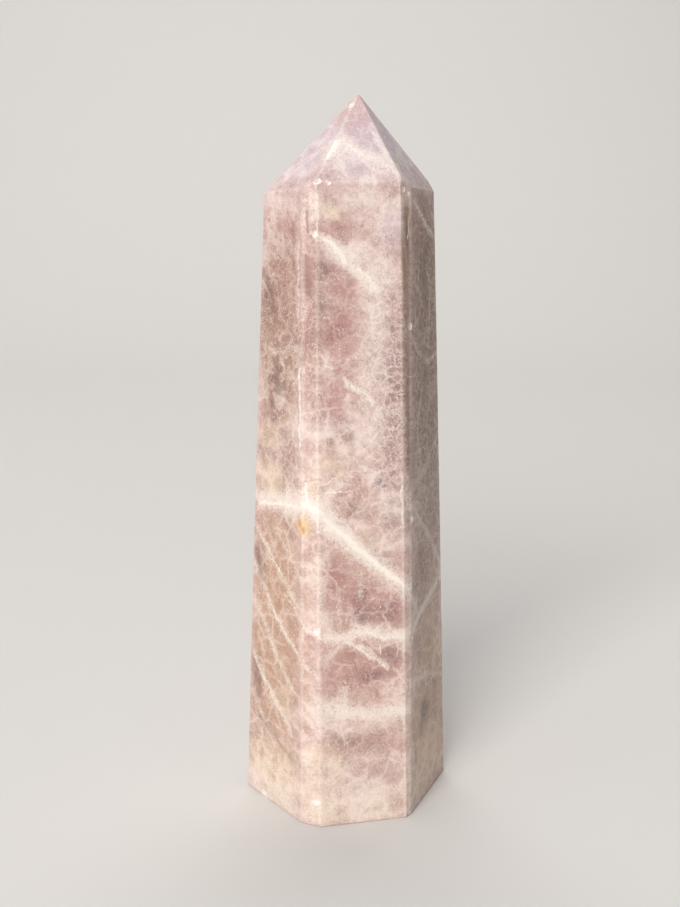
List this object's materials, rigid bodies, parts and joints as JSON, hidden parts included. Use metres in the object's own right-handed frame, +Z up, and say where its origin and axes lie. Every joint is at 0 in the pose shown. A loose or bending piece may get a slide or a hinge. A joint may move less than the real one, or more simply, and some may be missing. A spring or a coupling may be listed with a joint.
{
  "type": "rose quartz point",
  "caption": "Upright polished rose quartz tower: a tapering hexagonal prism with narrow edge flats, cut to a faceted point, standing on its flat foot.",
  "frame": {"origin": "middle of the stone's footprint box, on the flat foot it stands on", "axes": "+Z up along the stone towards the point, the broad front face looks to -Y and a little to +X"},
  "size_m": [0.03, 0.028, 0.1],
  "materials": {
    "rose_quartz": "milky pink rose quartz, polished, slightly translucent at its edges"
  },
  "bodies": {
    "root": {"quartz_point": "rose_quartz"}
  },
  "joints": []
}
